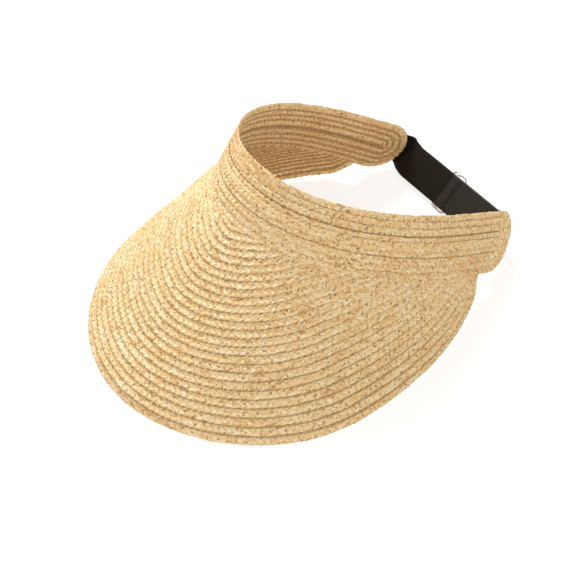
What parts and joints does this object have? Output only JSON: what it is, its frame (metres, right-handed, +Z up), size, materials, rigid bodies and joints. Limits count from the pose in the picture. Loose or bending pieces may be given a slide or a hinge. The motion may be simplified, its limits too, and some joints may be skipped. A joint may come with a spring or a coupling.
{
  "type": "sun visor",
  "caption": "Open-crown sun visor: wide sloping brim of lapped raffia braid, coiled braid headband, and an elastic strap with a wire slide adjuster.",
  "frame": {"origin": "centre of the bounding box in plan, on the surface that the visor lies on", "axes": "+Z up as the visor lies on its brim, -Y the way the wearer looks, +X the wearer's left side"},
  "size_m": [0.2208, 0.283, 0.1272],
  "materials": {
    "raffia_braid": "woven matte, slight straw sheen",
    "black_elastic": "satin woven elastic",
    "ribbed_elastic": "ribbed woven elastic",
    "bright_wire": "bright nickel plate",
    "black_thread": "sewing thread"
  },
  "bodies": {
    "root": {"brim_row_01": "raffia_braid", "brim_row_02": "raffia_braid", "brim_row_03": "raffia_braid", "brim_row_04": "raffia_braid", "brim_row_05": "raffia_braid", "brim_row_06": "raffia_braid", "brim_row_07": "raffia_braid", "brim_row_08": "raffia_braid", "brim_row_09": "raffia_braid", "brim_row_10": "raffia_braid", "brim_row_11": "raffia_braid", "brim_row_12": "raffia_braid", "brim_row_13": "raffia_braid", "brim_row_14": "raffia_braid", "brim_row_15": "raffia_braid", "brim_row_16": "raffia_braid", "brim_row_17": "raffia_braid", "brim_row_18": "raffia_braid", "brim_row_19": "raffia_braid", "brim_row_20": "raffia_braid", "brim_row_21": "raffia_braid", "brim_row_22": "raffia_braid", "brim_row_23": "raffia_braid", "brim_row_24": "raffia_braid", "brim_row_25": "raffia_braid", "brim_row_26": "raffia_braid", "band_centre_row": "raffia_braid", "band_coil": "raffia_braid", "elastic_strap": "black_elastic", "strap_return_run": "ribbed_elastic", "ring_tab": "ribbed_elastic", "tack_strap_end": "black_thread", "tack_ring_tab": "black_thread"},
    "adjuster": {"slide_adjuster": "bright_wire", "strap_folded_end": "ribbed_elastic", "tack_folded_end": "black_thread"},
    "ring": {"strap_ring": "bright_wire"}
  },
  "joints": [
    {"name": "adjuster_slide", "type": "slide", "parent": "root", "child": "adjuster", "axis": [1, 0, 0], "range_m": [-0.022, 0.022], "deforming": ["strap_return_run"]},
    {"name": "ring_swivel", "type": "hinge", "parent": "root", "child": "ring", "pos_m": [0.04537, 0.12799, 0.01315], "axis": [0, 0.7431, 0.6691], "range_deg": [-3, 3]}
  ]
}
